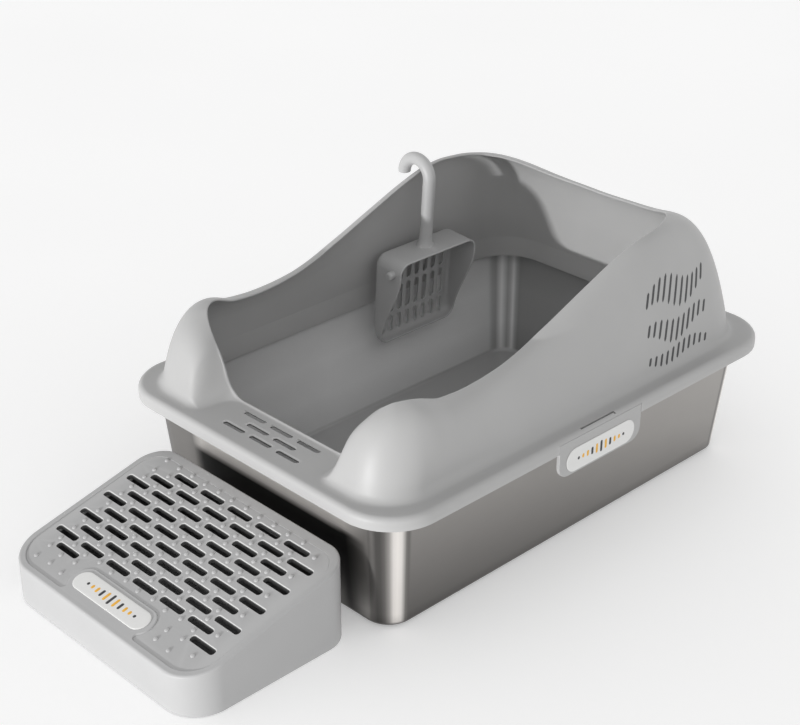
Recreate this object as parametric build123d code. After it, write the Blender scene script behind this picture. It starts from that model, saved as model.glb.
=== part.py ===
from build123d import *
import math
import os

os.makedirs("parts", exist_ok=True)

# ---------------------------------------------------------------------------
# Stainless steel litter box: a deep-drawn pan, a plastic guard that drops over
# its rim and is held by a snap clip on each side, a litter-catching step with
# a lift-out grate, and a slotted scoop that hangs on the guard.
# Millimetres. +Z up, -Y is the entry side (where the step stands).
# The pan is modelled about its own centre and everything is shifted along Y at
# the end, so that the origin is the bottom centre of the whole set.
# ---------------------------------------------------------------------------
Y_SHIFT = 95.5             # pan centre in the finished frame

# pan
PAN_T = 0.8                # sheet thickness
PAN_Z0 = 2.0               # underside, carried on the pads
PAN_RIM_Z = 149.6          # top of the rolled rim
PAN_BASE = (174.5, 271.5, 30.0)    # half width, half length, plan corner radius
PAN_TOP = (187.8, 284.8, 35.0)
PAN_RIM_OUT = 13.0         # rim stands this far outside the wall
PAN_BEAD_H = 4.4           # rolled edge
PAN_FOOT_R = 6.0           # radius where wall meets floor

# guard (upper enclosure)
# plans: half width, front y, back y, front corner radius, back corner radius
F_PLAN = (212.5, -306.0, 306.0, 60.0, 60.0)     # outer edge of the flange
B_PLAN = (190.0, -285.0, 285.0, 50.0, 62.0)     # foot of the wall
E_PLAN = (154.0, -242.0, 246.0, 40.0, 130.0)    # free edge of the wall, seen from above
SKIRT_Z = 141.0            # lower edge of the flange skirt
FLANGE_Z = 153.0           # top of the flange
FLANGE_UNDER_Z = 150.0     # underside, just above the pan rim
SKIRT_T = 3.0
GUARD_T = 2.8
DROP_Z = 138.0             # inner drop edge that leads litter into the pan

# height of the free edge against the distance along its plan, from the middle
# of the entry round to the middle of the back
EDGE_Z = [(0, 155.6), (70, 155.6), (79, 156.4), (86, 159.0), (94, 166.4), (101, 181.0), (106, 192.5),
          (111, 202.0), (116, 209.6), (124, 219.8), (132.7, 227.5), (146.4, 234.8), (159, 236.6),
          (170, 235.0), (177, 232.4), (195.4, 226.3), (225, 224.3), (248.3, 225.5), (278.8, 229.5),
          (309.8, 237.5), (339.2, 248.5), (354, 254.0), (384, 266.0), (415.6, 278.5), (441.5, 288.5),
          (463.8, 296.0), (479.7, 300.5), (494.8, 303.3), (517.5, 305.2), (540, 305.2), (563, 303.3),
          (581, 300.0), (599, 295.0), (617.3, 288.8), (635.5, 282.8), (653.6, 278.2), (676.3, 274.8),
          (699, 273.4), (723, 273.0)]

# side clips
CLIP_Y = -3.0              # middle of the clip along the side
CLIP_HW = 65.0             # half width
CLIP_Z0 = 108.5            # lower edge of the tab
CLIP_T = 3.6
CLIP_GAP = 0.35
PIVOT_X, PIVOT_Z = 210.6, 147.4   # the clip swings on stub pins near its top edge
PIVOT_R = 1.2
CLIP_TOP_Z = 148.8
BADGE_L, BADGE_H, BADGE_T = 108.0, 27.0, 1.0
BADGE_Z = 124.5

# step
STEP_HW = 153.0
STEP_Y0, STEP_Y1 = -497.0, -295.4
STEP_H0, STEP_H1 = 45.0, 94.0
STEP_R, STEP_R_BACK = 40.0, 32.0   # plan corner radii, front and back
STEP_WALL = 3.0
STEP_RIM = 8.0             # width of the border round the grate
STEP_RIM_BACK = 11.4       # and behind it, so that the grate lifts clear of the flange
STEP_PAD = 0.8
GRATE_SEAT = 6.0           # depth of the seat below the border
GRATE_T = 4.6
SLOT_L, SLOT_W = 34.8, 7.6
SLOT_PITCH_X, SLOT_PITCH_Y = 43.7, 15.0
STEP_BADGE_L, STEP_BADGE_H = 114.0, 24.0
STEP_BADGE_X, STEP_BADGE_Y = -2.2, -470.5
SLOT_X = -2.0              # the slot pattern sits a little to the left as well

# scoop, modelled hanging on the left side of the guard
SCOOP_Y = 98.0             # where its handle crosses the guard's edge
SCOOP_W = 126.0            # basket width
SCOOP_L = 118.0            # basket length
SCOOP_D = 44.0             # basket depth at the back
SCOOP_T = 2.6
HANDLE_R = 7.5
HOOK_R = 20.5              # centre line of the hooked end
HANDLE_LEN = 82.0
SCOOP_TILT = 4.0           # degrees, the basket swings towards the wall


def plan_rect(hw, hl, r, z):
    return Pos(0, 0, z) * RectangleRounded(2 * hw, 2 * hl, r)


def put(part, name):
    part = Pos(0, Y_SHIFT, 0) * part
    part.label = name
    export_step(part, "parts/%s.step" % name)
    print(name, "solids", len(part.solids()), "volume", round(part.volume))


def xz_box(x0, x1, y0, y1, z0, z1):
    return Pos((x0 + x1) / 2, (y0 + y1) / 2, (z0 + z1) / 2) * Box(x1 - x0, y1 - y0, z1 - z0)


# ---------------------------------------------------------------------------
# pan: drawn tray with a flat turned-out rim and a rolled edge
# ---------------------------------------------------------------------------
def pan_half(z, inset):
    k = (z - PAN_Z0) / (PAN_RIM_Z - PAN_Z0)
    return [a + (b - a) * k - inset for a, b in zip(PAN_BASE, PAN_TOP)]


outer = loft([plan_rect(*pan_half(PAN_Z0, 0), PAN_Z0), plan_rect(*pan_half(PAN_RIM_Z, 0), PAN_RIM_Z)], ruled=True)
inner = loft([plan_rect(*pan_half(PAN_Z0 + PAN_T, PAN_T), PAN_Z0 + PAN_T),
              plan_rect(*pan_half(PAN_RIM_Z + 1, PAN_T), PAN_RIM_Z + 1)], ruled=True)
outer = fillet(outer.edges().group_by(Axis.Z)[0], PAN_FOOT_R)
inner = fillet(inner.edges().group_by(Axis.Z)[0], PAN_FOOT_R - PAN_T)
rim_in = pan_half(PAN_RIM_Z, 0.5)
rim_out = [v + PAN_RIM_OUT for v in pan_half(PAN_RIM_Z, 0)]
rim = extrude(plan_rect(*[v - 1.5 for v in rim_out], PAN_RIM_Z - PAN_T) - plan_rect(*rim_in, PAN_RIM_Z - PAN_T), PAN_T)
bead = extrude(plan_rect(*rim_out, PAN_RIM_Z - PAN_BEAD_H)
               - plan_rect(*[v - PAN_BEAD_H for v in rim_out], PAN_RIM_Z - PAN_BEAD_H), PAN_BEAD_H)
bead = fillet(bead.edges().filter_by(lambda e: True), PAN_BEAD_H / 2 - 0.15)
pan = (outer - inner) + rim + bead
put(pan, "steel_pan")

pad = chamfer(Cylinder(13, PAN_Z0, align=(Align.CENTER, Align.CENTER, Align.MIN)).edges().group_by(Axis.Z)[0], 0.6)
pads = Compound(children=[Pos(x, y, 0) * pad for x in (-132, 132) for y in (-226, 226)])
put(pads, "pan_foot_pads")


# ---------------------------------------------------------------------------
# guard: flange, cove, leaning wall and rolled-in free edge, as one section
# carried round the plan; made as the left half and mirrored
# ---------------------------------------------------------------------------
def plan_lengths(p):
    hw, y0, y1, rf, rb = p
    return [hw - rf, math.pi * rf / 2, (y1 - y0) - rf - rb, math.pi * rb / 2, hw - rb]


def edge_point(seg, t):
    # free edge on the left half, from the middle of the front to the middle of the back, and its outward normal
    hw, y0, y1, rf, rb = E_PLAN
    if seg == 0:
        return (-(hw - rf) * t, y0), (0.0, -1.0)
    if seg == 1:
        n = (-math.sin(math.pi / 2 * t), -math.cos(math.pi / 2 * t))
        return (-(hw - rf) + rf * n[0], y0 + rf + rf * n[1]), n
    if seg == 2:
        return (-hw, y0 + rf + (y1 - y0 - rf - rb) * t), (-1.0, 0.0)
    if seg == 3:
        n = (-math.cos(math.pi / 2 * t), math.sin(math.pi / 2 * t))
        return (-(hw - rb) + rb * n[0], y1 - rb + rb * n[1]), n
    return (-(hw - rb) * (1 - t), y1), (0.0, 1.0)


def corner_offset(p, plan):
    hw, y0, y1, rf, rb = plan
    mid = (y0 + y1) / 2
    r = rf if p[1] < mid else rb
    return abs(p[0]) - (hw - r), abs(p[1] - mid) - ((y1 - y0) / 2 - r), r


def outside(p, plan):
    qx, qy, r = corner_offset(p, plan)
    return math.hypot(max(qx, 0), max(qy, 0)) + min(max(qx, qy), 0) - r


def out_normal(p, plan):
    qx, qy, r = corner_offset(p, plan)
    sx = -1.0 if p[0] < 0 else 1.0
    sy = -1.0 if p[1] < (plan[1] + plan[2]) / 2 else 1.0
    if qx > 0 and qy > 0:
        L = math.hypot(qx, qy)
        return (sx * qx / L, sy * qy / L)
    return (sx, 0.0) if qx > qy else (0.0, sy)


def shoot(p, n, plan):
    # where a line from p along n meets a plan outline
    a, b = 0.0, 200.0
    for _ in range(50):
        m = (a + b) / 2
        if outside((p[0] + n[0] * m, p[1] + n[1] * m), plan) < 0:
            a = m
        else:
            b = m
    return (p[0] + n[0] * a, p[1] + n[1] * a)


def ease(a, b, x):
    t = min(1.0, max(0.0, (x - a) / (b - a)))
    return t * t * (3 - 2 * t)


def bezier(p0, p1, p2, p3, n):
    out = []
    for k in range(1, n + 1):
        u, v = k / n, 1 - k / n
        out.append(tuple(v ** 3 * a + 3 * v * v * u * b + 3 * v * u * u * c + u ** 3 * d
                         for a, b, c, d in zip(p0, p1, p2, p3)))
    return out


def smooth(table, s):
    # monotone-looking cubic through the table
    n = len(table)
    if s <= table[0][0]:
        return table[0][1]
    if s >= table[-1][0]:
        return table[-1][1]
    i = max(k for k in range(n - 1) if table[k][0] <= s)

    def slope(k):
        if k == 0 or k == n - 1:
            return 0.0
        d0 = (table[k][1] - table[k - 1][1]) / (table[k][0] - table[k - 1][0])
        d1 = (table[k + 1][1] - table[k][1]) / (table[k + 1][0] - table[k][0])
        if d0 * d1 <= 0:
            return 0.0
        return 2 * d0 * d1 / (d0 + d1)
    x0, y0 = table[i]
    x1, y1 = table[i + 1]
    h = x1 - x0
    u = (s - x0) / h
    m0, m1 = slope(i) * h, slope(i + 1) * h
    return ((2 * u ** 3 - 3 * u ** 2 + 1) * y0 + (u ** 3 - 2 * u ** 2 + u) * m0
            + (-2 * u ** 3 + 3 * u ** 2) * y1 + (u ** 3 - u ** 2) * m1)


def section(seg, t, s):
    E, n = edge_point(seg, t)
    B = shoot(E, n, B_PLAN)
    nb = out_normal(B, B_PLAN)
    F = shoot(B, nb, F_PLAN)
    nf = out_normal(F, F_PLAN)
    zt = smooth(EDGE_Z, s)
    fb, be = math.dist(F, B), math.dist(B, E)
    H = zt - FLANGE_Z
    Hw = max(H, 45.0)
    W = fb + be
    # the wall is fuller in the front corners and rounder over the back ones
    ex = max(0.0, be - 36.0) if seg >= 2 else 0.0
    fw = ease(92, 140, s) * (1 - ease(165, 300, s))
    lean = 16.0 + 0.8 * ex + 20.0 * fw
    rise = 0.95 - 0.005 * ex - 0.15 * fw
    curl = 13.0 + 0.5 * ex + 10.0 * fw
    p0, p3 = (fb + 1.8, 11.0), (W, Hw)
    p1 = (W - lean - (W - lean - p0[0]) * (1 - rise) * 0.9, 11.0 + (Hw - 11.0) * rise)
    p2 = (W - curl, Hw - 0.3)
    wall = [(6, 0.0), (fb - 9, 0.15), (fb - 4, 1.3), (fb - 0.6, 4.6), p0] + bezier(p0, p1, p2, p3, 8)
    # over the entry the wall sinks to a flat lip with a raised inner edge
    power = 8 - 5.8 * ease(2.6, 14, H)
    w = ease(10, 60, H)
    out = [(0, SKIRT_Z), (0, FLANGE_Z - 6), (1.76, FLANGE_Z - 1.76)]
    for d, z in wall:
        u = max(0.0, (d - fb + 9) / (be + 9))
        lip = 0.05 * min(1.0, (d - 6) / 6) + (H - 0.05) * u ** power
        out.append((d, FLANGE_Z + lip + (z / Hw * H - lip) * w))
    inn = []
    for k in range(10, len(out)):
        a = out[k - 1]
        b = out[k + 1] if k + 1 < len(out) else out[k]
        L = math.hypot(b[0] - a[0], b[1] - a[1])
        inn.append((out[k][0] + GUARD_T * (b[1] - a[1]) / L, out[k][1] - GUARD_T * (b[0] - a[0]) / L))
    inn[-1] = (out[-1][0], out[-1][1] - GUARD_T)
    # foot of the inner face
    a, b = out[7], out[8]
    L = math.hypot(b[0] - a[0], b[1] - a[1])
    p7 = (a[0] + GUARD_T * (b[1] - a[1]) / L, a[1] - GUARD_T * (b[0] - a[0]) / L)
    k = (fb + 7.2 - p7[0]) / (inn[0][0] - p7[0])
    foot = min(p7[1] + (inn[0][1] - p7[1]) * k, FLANGE_UNDER_Z + 14)
    pts = []
    for d, z in out + inn[::-1]:
        if d <= fb:
            k = d / fb
            x, y = F[0] + (B[0] - F[0]) * k, F[1] + (B[1] - F[1]) * k
        else:
            k = (d - fb) / be
            x, y = B[0] + (E[0] - B[0]) * k, B[1] + (E[1] - B[1]) * k
        pts.append(Vector(x, y, z))
    # drop edge and underside run parallel to the foot and the flange edge
    for p, q, o, z in ((B, nb, 7.6, foot), (B, nb, 7.4, FLANGE_UNDER_Z), (B, nb, 8.2, DROP_Z), (B, nb, 6.0, DROP_Z),
                       (B, nb, 5.0, FLANGE_UNDER_Z), (F, nf, SKIRT_T, FLANGE_UNDER_Z), (F, nf, SKIRT_T, SKIRT_Z)):
        pts.append(Vector(p[0] - q[0] * o, p[1] - q[1] * o, z))
    return Wire(Polyline(*pts, close=True).edges())


LEN_E = plan_lengths(E_PLAN)
starts = [sum(LEN_E[:i]) for i in range(5)]
stations = [(0, s / LEN_E[0]) for s in (0, 35, 66, 76, 82, 87, 91, 95, 99, 103, 107, 111)]
stations += [(1, t / 12) for t in range(0, 13)]
stations += [(2, t / 16) for t in range(1, 16)]
stations += [(3, t / 16) for t in range(0, 17)]
stations += [(4, 1.0)]
wires = [section(seg, t, starts[seg] + t * LEN_E[seg]) for seg, t in stations]
half = Part(Solid.make_loft(wires, True).wrapped)
guard = half + mirror(half, about=Plane.YZ)

# the drop edge is left off under the entry lip
guard -= xz_box(-100, 100, -284, -272, DROP_Z - 1, FLANGE_UNDER_Z)

# slots in the entry lip let litter fall back into the pan
lip_slots = Sketch()
for y, xs in ((-253, (-41.5, 0, 41.5)), (-267, (-20.75, 20.75)), (-281, (-41.5, 0, 41.5))):
    for x in xs:
        lip_slots += Pos(x, y, 0) * SlotOverall(33, 6)
guard -= extrude(Pos(0, 0, 140) * lip_slots, 30)

# clip seats: notch through the skirt, finger slit above it and two pivot blocks
for sx in (-1, 1):
    a, b = sorted((sx * (212.5 - 5.0), sx * 220))
    guard -= xz_box(a, b, CLIP_Y - CLIP_HW - CLIP_GAP, CLIP_Y + CLIP_HW + CLIP_GAP, SKIRT_Z - 5, FLANGE_UNDER_Z - 0.1)
    a, b = sorted((sx * 205.9, sx * 208.5))
    guard -= xz_box(a, b, CLIP_Y - 28, CLIP_Y + 25, FLANGE_UNDER_Z - 1, FLANGE_Z + 8)
    for e in (-1, 1):
        y0, y1 = sorted((CLIP_Y + e * (CLIP_HW + CLIP_GAP), CLIP_Y + e * (CLIP_HW + 8)))
        a, b = sorted((sx * 205.5, sx * 210.5))
        block = xz_box(a, b, y0, y1, PIVOT_Z - 3.4, FLANGE_UNDER_Z + 1)
        bore = Pos(sx * PIVOT_X, (y0 + y1) / 2, PIVOT_Z) * Rot(90, 0, 0) * Cylinder(PIVOT_R + 0.06, abs(y1 - y0) - 0.6)
        bore = Pos(0, -e * 0.5, 0) * bore
        guard = guard + block - bore
put(guard, "guard_shell")

# ---------------------------------------------------------------------------
# side clips and their badges
# ---------------------------------------------------------------------------
for sx, side in ((1, "right"), (-1, "left")):
    # tab: straight sides, wide rounded lower corners, eased outer edges
    sk = Pos(CLIP_Y, (CLIP_Z0 + CLIP_TOP_Z) / 2) * Rectangle(2 * CLIP_HW, CLIP_TOP_Z - CLIP_Z0)
    sk = fillet(sk.vertices().group_by(Axis.Y)[0], 15)
    clip = Pos(212.5 - CLIP_T, 0, 0) * extrude(Plane.YZ * sk, CLIP_T)
    clip = fillet([e for e in clip.edges() if abs(e.center().X - 212.5) < 0.01], 0.8)
    # hook rib behind the tab, under the pan's rolled rim
    rib = make_face(Polyline((209.2, 134.0), (209.2, 141.8), (202.2, 141.8), (202.2, 140.2), close=True))
    clip += Pos(0, CLIP_Y, 0) * extrude(Plane.XZ * rib, 28, both=True)
    for e in (-1, 1):
        clip += Pos(PIVOT_X, CLIP_Y + e * (CLIP_HW + 2.5), PIVOT_Z) * Rot(90, 0, 0) * Cylinder(PIVOT_R, 7.0)
    sk = Pos(CLIP_Y, BADGE_Z) * SlotOverall(BADGE_L, BADGE_H)
    badge = Pos(212.5, 0, 0) * extrude(Plane.YZ * sk, BADGE_T)
    badge = fillet([e for e in badge.edges() if e.center().X > 212.5 + BADGE_T - 0.01], 0.4)
    if sx < 0:
        clip = mirror(clip, about=Plane.YZ)
        badge = mirror(badge, about=Plane.YZ)
    put(clip, "clip_" + side)
    put(badge, "clip_badge_" + side)

# ---------------------------------------------------------------------------
# step: hollow box with a sloped border, lift-out grate, badge and pads
# ---------------------------------------------------------------------------
step_cy = (STEP_Y0 + STEP_Y1) / 2
step_hl = (STEP_Y1 - STEP_Y0) / 2
SLOPE = (STEP_H1 - STEP_H0) / (STEP_Y1 - STEP_Y0)


def step_block(inset, drop, z0, back=0.0):
    # rounded block under the sloped top, lowered by drop; back is a further inset of its rear face
    sk = Rectangle(2 * (STEP_HW - inset), 2 * (step_hl - inset) - back)
    sk = fillet(sk.vertices().group_by(Axis.Y)[0], STEP_R - inset)
    sk = fillet(sk.vertices().sort_by(Axis.Y)[-2:], STEP_R_BACK - inset)
    body = extrude(Pos(0, step_cy - back / 2, z0) * sk, 140)
    ya, yb = STEP_Y0 - 20, STEP_Y1 + 20
    za = STEP_H0 + SLOPE * (ya - STEP_Y0) - drop
    zb = STEP_H0 + SLOPE * (yb - STEP_Y0) - drop
    side = extrude(Plane.YZ.offset(-200) * make_face(Polyline((ya, -30), (yb, -30), (yb, zb), (ya, za), close=True)), 400)
    return body & side


def slope_z(y, drop=0.0):
    return STEP_H0 + SLOPE * (y - STEP_Y0) - drop


shell = step_block(0, 0, STEP_PAD)
shell = fillet([e for e in shell.edges() if e.center().Z > STEP_H0 - 6 and not e.is_interior and abs(e.tangent_at(0.5).Z) < 0.5
                and e.center().Z > slope_z(e.center().Y) - 0.5], 2.0)
cavity = step_block(STEP_WALL, GRATE_SEAT + 3.0, STEP_PAD + STEP_WALL)
seat = step_block(STEP_RIM, -5, 20, STEP_RIM_BACK - STEP_RIM)
seat_low = step_block(0, GRATE_SEAT, -30)
seat = seat - seat_low
throat = step_block(STEP_RIM + 6, -5, STEP_PAD + STEP_WALL, STEP_RIM_BACK - STEP_RIM)
shell = shell - cavity - seat - throat
# raised label boss at the front, which the grate goes round
boss_sk = Pos(STEP_BADGE_X, STEP_BADGE_Y) * (SlotOverall(STEP_BADGE_L + 12, STEP_BADGE_H + 10)
                                              + Pos(0, -12) * Rectangle(STEP_BADGE_L, STEP_BADGE_H + 10))
boss = extrude(boss_sk, 80) & step_block(STEP_WALL, 0, STEP_PAD + STEP_WALL) - step_block(0, 3.4, -30)
shell = shell + boss
put(shell, "step_shell")

grate = (step_block(STEP_RIM + 0.4, GRATE_SEAT - GRATE_T - 0.3, 10, STEP_RIM_BACK - STEP_RIM) - step_block(0, GRATE_SEAT - 0.3, -30))
boss_gap = Pos(STEP_BADGE_X, STEP_BADGE_Y) * (SlotOverall(STEP_BADGE_L + 12.8, STEP_BADGE_H + 10.8)
                                               + Pos(0, -14) * Rectangle(STEP_BADGE_L + 0.8, STEP_BADGE_H + 14))
grate -= extrude(boss_gap, 120)
slots = Sketch()
for r in range(10):
    y = -453.6 + SLOT_PITCH_Y * r
    x0 = (0.25 if r % 2 == 0 else -0.25) * SLOT_PITCH_X
    idx = (0, 5) if r == 0 else (range(1, 6) if r == 9 else range(6))
    for k in idx:
        slots += Pos(SLOT_X + x0 + (k - 2.5) * SLOT_PITCH_X, y) * SlotOverall(SLOT_L, SLOT_W)
grate -= extrude(slots, 140)
put(grate, "step_grate")

tilt = math.degrees(math.atan(SLOPE))
badge = extrude(SlotOverall(STEP_BADGE_L, STEP_BADGE_H), 0.9)
badge = fillet(badge.edges().group_by(Axis.Z)[-1], 0.35)
badge = Pos(STEP_BADGE_X, STEP_BADGE_Y, slope_z(STEP_BADGE_Y)) * Rot(tilt, 0, 0) * badge
put(badge, "step_badge")

pad = chamfer(Cylinder(10, STEP_PAD, align=(Align.CENTER, Align.CENTER, Align.MIN)).edges().group_by(Axis.Z)[0], 0.3)
pads = Compound(children=[Pos(x, y, 0) * pad for x in (-122, 122) for y in (STEP_Y0 + 30, STEP_Y1 - 30)])
put(pads, "step_foot_pads")

# ---------------------------------------------------------------------------
# scoop: slotted basket, side ears and a hooked round handle, in one moulding.
# Local frame: hook centre at the origin, handle down -Z, basket opens to +X.
# ---------------------------------------------------------------------------
hx = HOOK_R                      # handle axis
back_z = -HANDLE_LEN             # outer face of the basket's back wall
front_z = back_z - SCOOP_L
floor_x = hx - 20.0              # outer face of the slotted floor
handle = Pos(hx, 0, back_z - 1) * Cylinder(HANDLE_R, HANDLE_LEN + 1, align=(Align.CENTER, Align.CENTER, Align.MIN))
handle += revolve(Plane.XY * Pos(hx, 0) * Circle(HANDLE_R), Axis.Y, -190)
# the sides fall from the back wall to the low front edge
prof_o = make_face(Polyline((floor_x, back_z), (floor_x, front_z + 12), (floor_x + 9, front_z), (floor_x + 22, front_z),
                            (floor_x + SCOOP_D, back_z - 26), (floor_x + SCOOP_D, back_z), close=True))
prof_i = make_face(Polyline((floor_x + SCOOP_T, back_z - SCOOP_T), (floor_x + SCOOP_T, front_z + 11),
                            (floor_x + SCOOP_T + 10, front_z + SCOOP_T), (floor_x + 80, front_z + SCOOP_T),
                            (floor_x + 80, back_z - SCOOP_T), close=True))
bo = extrude(Plane.XZ * prof_o, SCOOP_W / 2, both=True)
bi = extrude(Plane.XZ * prof_i, SCOOP_W / 2 - SCOOP_T, both=True)
bo = fillet([e for e in bo.edges().filter_by(Axis.X) if e.center().Z > back_z - 1], 12)
bi = fillet([e for e in bi.edges().filter_by(Axis.X) if e.center().Z > back_z - SCOOP_T - 1], 9.5)
basket = bo - bi
sl = Sketch()
for k in range(8):
    y = (k - 3.5) * 13.6
    for zc, ln in ((back_z - 29, 38), (back_z - 70, 34), (back_z - 100, 17)):
        sl += Pos(y, zc) * Rot(0, 0, 90) * SlotOverall(ln, 7.4)
basket -= extrude(Plane.YZ.offset(floor_x - 5) * sl, 14)
ears = Part()
for e in (-1, 1):
    ear = xz_box(floor_x + 26, floor_x + 36, 0, 9, back_z - 21, back_z - 11)
    ear = fillet(ear.edges().filter_by(Axis.Y), 3.5)
    ears += Pos(0, e * (SCOOP_W / 2 - 1) + (-9 if e < 0 else 0), 0) * ear
scoop = handle + basket + ears
# the hook straddles the rolled-in edge and bears on its inner and outer corners
rim_z = smooth(EDGE_Z, starts[2] + (SCOOP_Y + HANDLE_R - (E_PLAN[1] + E_PLAN[3])))
hook_z = rim_z - 10.1
hook_x = -E_PLAN[0] - 7.5
scoop = Pos(hook_x, SCOOP_Y, hook_z) * Rot(0, SCOOP_TILT, 0) * scoop
put(scoop, "scoop")
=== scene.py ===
import bpy
import bmesh
import math
from mathutils import Matrix, Vector
from mathutils.bvhtree import BVHTree


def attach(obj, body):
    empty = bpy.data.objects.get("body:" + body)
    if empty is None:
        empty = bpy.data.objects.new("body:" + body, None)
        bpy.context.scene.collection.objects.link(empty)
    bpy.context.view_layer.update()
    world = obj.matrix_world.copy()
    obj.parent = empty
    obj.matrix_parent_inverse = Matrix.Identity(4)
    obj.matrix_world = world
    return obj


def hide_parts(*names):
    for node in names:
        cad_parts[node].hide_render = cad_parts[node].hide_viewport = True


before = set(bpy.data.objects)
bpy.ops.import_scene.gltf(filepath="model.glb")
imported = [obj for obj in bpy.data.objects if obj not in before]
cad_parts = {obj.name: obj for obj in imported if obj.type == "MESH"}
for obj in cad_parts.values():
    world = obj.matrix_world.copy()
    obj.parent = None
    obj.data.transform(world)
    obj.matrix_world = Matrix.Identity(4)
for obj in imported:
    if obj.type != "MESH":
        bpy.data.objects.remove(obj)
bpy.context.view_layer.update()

MM = 0.001
YS = 95.5                       # pan centre along Y, mm


def P(x, y, z):
    """Millimetres about the pan's centre to the frame's metres."""
    return Vector((x * MM, (y + YS) * MM, z * MM))


# ---------------------------------------------------------------------------
# mesh helpers
# ---------------------------------------------------------------------------
def new_object(name, verts, faces, sharp=38.0):
    me = bpy.data.meshes.new(name)
    me.from_pydata([tuple(v) for v in verts], [], faces)
    me.update()
    ob = bpy.data.objects.new(name, me)
    bpy.context.scene.collection.objects.link(ob)
    fix_normals(ob)
    smooth_shade(ob, sharp)
    return ob


def fix_normals(ob):
    bm = bmesh.new()
    bm.from_mesh(ob.data)
    bmesh.ops.recalc_face_normals(bm, faces=bm.faces)
    bm.to_mesh(ob.data)
    bm.free()


def smooth_shade(ob, sharp=38.0):
    me = ob.data
    me.polygons.foreach_set("use_smooth", [True] * len(me.polygons))
    me.set_sharp_from_angle(angle=math.radians(sharp))
    me.update()


def bridge(loops, closed=True, wrap=False):
    """Quads between rings of equal length."""
    n = len(loops[0])
    verts = [p for lp in loops for p in lp]
    faces = []
    m = len(loops)
    for i in range(m if wrap else m - 1):
        a, b = i * n, ((i + 1) % m) * n
        for k in range(n if closed else n - 1):
            k2 = (k + 1) % n
            faces.append((a + k, a + k2, b + k2, b + k))
    return verts, faces


def join(name, obs):
    bpy.ops.object.select_all(action="DESELECT")
    for o in obs:
        o.select_set(True)
    bpy.context.view_layer.objects.active = obs[0]
    bpy.ops.object.join()
    obs[0].name = name
    obs[0].data.name = name
    return obs[0]


def apply_modifiers(ob):
    dg = bpy.context.evaluated_depsgraph_get()
    me = bpy.data.meshes.new_from_object(ob.evaluated_get(dg))
    ob.modifiers.clear()
    old = ob.data
    ob.data = me
    bpy.data.meshes.remove(old)
    return ob


def cut(ob, cutter, keep=False):
    m = ob.modifiers.new("cut", "BOOLEAN")
    m.operation = "DIFFERENCE"
    m.solver = "EXACT"
    m.object = cutter
    apply_modifiers(ob)
    if not keep:
        bpy.data.objects.remove(cutter)
    return ob


def pill(length, width, n=10):
    """Outline of a slot along X, counter-clockwise."""
    r = width / 2
    a = length / 2 - r
    pts = []
    for k in range(n + 1):
        t = -math.pi / 2 + math.pi * k / n
        pts.append((a + r * math.cos(t), r * math.sin(t)))
    for k in range(n + 1):
        t = math.pi / 2 + math.pi * k / n
        pts.append((-a + r * math.cos(t), r * math.sin(t)))
    return pts


def round_rect(hw, hl, r, n=16, flat=10):
    """Rounded rectangle, counter-clockwise from the middle of the front, equal counts whatever its size."""
    pts = []
    corners = [(hw - r, -hl + r, -90), (hw - r, hl - r, 0), (-hw + r, hl - r, 90), (-hw + r, -hl + r, 180)]
    starts = [((0, -hl), (hw - r, -hl)), ((hw, -hl + r), (hw, hl - r)), ((hw - r, hl), (-hw + r, hl)),
              ((-hw, hl - r), (-hw, -hl + r))]
    for i, (cx, cy, a0) in enumerate(corners):
        (x0, y0), (x1, y1) = starts[i]
        for k in range(flat):
            t = k / flat
            pts.append((x0 + (x1 - x0) * t, y0 + (y1 - y0) * t))
        for k in range(n):
            a = math.radians(a0 + 90 * k / n)
            pts.append((cx + r * math.cos(a), cy + r * math.sin(a)))
    for k in range(flat):
        t = k / flat
        pts.append((-(hw - r) * (1 - t), -hl))
    return pts


def spline(points, per=6, closed=False):
    """Centripetal Catmull-Rom through 2-D points."""
    out = []
    n = len(points)
    for i in range(n - 1):
        p0 = points[i - 1] if i > 0 else (2 * points[0][0] - points[1][0], 2 * points[0][1] - points[1][1])
        p1, p2 = points[i], points[i + 1]
        p3 = points[i + 2] if i + 2 < n else (2 * p2[0] - p1[0], 2 * p2[1] - p1[1])
        ps = [Vector(q) for q in (p0, p1, p2, p3)]
        t = [0.0]
        for a, b in zip(ps, ps[1:]):
            t.append(t[-1] + max(1e-6, (b - a).length) ** 0.5)
        for k in range(per):
            u = t[1] + (t[2] - t[1]) * k / per
            A1 = ps[0] * ((t[1] - u) / (t[1] - t[0])) + ps[1] * ((u - t[0]) / (t[1] - t[0]))
            A2 = ps[1] * ((t[2] - u) / (t[2] - t[1])) + ps[2] * ((u - t[1]) / (t[2] - t[1]))
            A3 = ps[2] * ((t[3] - u) / (t[3] - t[2])) + ps[3] * ((u - t[2]) / (t[3] - t[2]))
            B1 = A1 * ((t[2] - u) / (t[2] - t[0])) + A2 * ((u - t[0]) / (t[2] - t[0]))
            B2 = A2 * ((t[3] - u) / (t[3] - t[1])) + A3 * ((u - t[1]) / (t[3] - t[1]))
            c = B1 * ((t[2] - u) / (t[2] - t[1])) + B2 * ((u - t[1]) / (t[2] - t[1]))
            out.append((c.x, c.y))
    out.append(tuple(points[-1]))
    return out


def offset_line(pts, d):
    """Parallel line on the right-hand side of an open 2-D line."""
    out = []
    for i, p in enumerate(pts):
        a = pts[max(0, i - 1)]
        b = pts[min(len(pts) - 1, i + 1)]
        L = math.hypot(b[0] - a[0], b[1] - a[1]) or 1e-9
        out.append((p[0] + d * (b[1] - a[1]) / L, p[1] - d * (b[0] - a[0]) / L))
    return out


def sstep(a, b, x):
    t = min(1.0, max(0.0, (x - a) / (b - a)))
    return t * t * (3 - 2 * t)


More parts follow.
